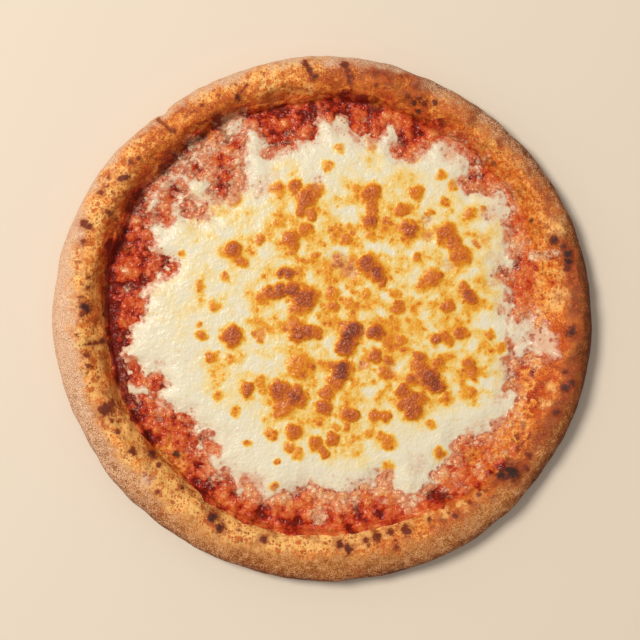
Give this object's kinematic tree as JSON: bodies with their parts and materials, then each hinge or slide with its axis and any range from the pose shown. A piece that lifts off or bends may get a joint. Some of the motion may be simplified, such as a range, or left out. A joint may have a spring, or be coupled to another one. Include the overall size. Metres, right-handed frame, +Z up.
{
  "type": "cheese pizza",
  "caption": "Whole round cheese pizza: raised baked rim, tomato sauce showing round the edge and a browned melted cheese layer.",
  "frame": {"origin": "middle of the flat underside, on the surface the pizza lies on", "axes": "+Z up through the toppings, +X along the pizza's slightly longer diameter"},
  "size_m": [0.3105, 0.3024, 0.0248],
  "materials": {
    "crust": "baked dough, dry and floury, blistered",
    "tomato_sauce": "wet and lumpy",
    "mozzarella": "melted, softly oily, browned in spots"
  },
  "bodies": {
    "root": {"crust": "crust", "tomato_sauce": "tomato_sauce", "mozzarella": "mozzarella"}
  },
  "joints": []
}
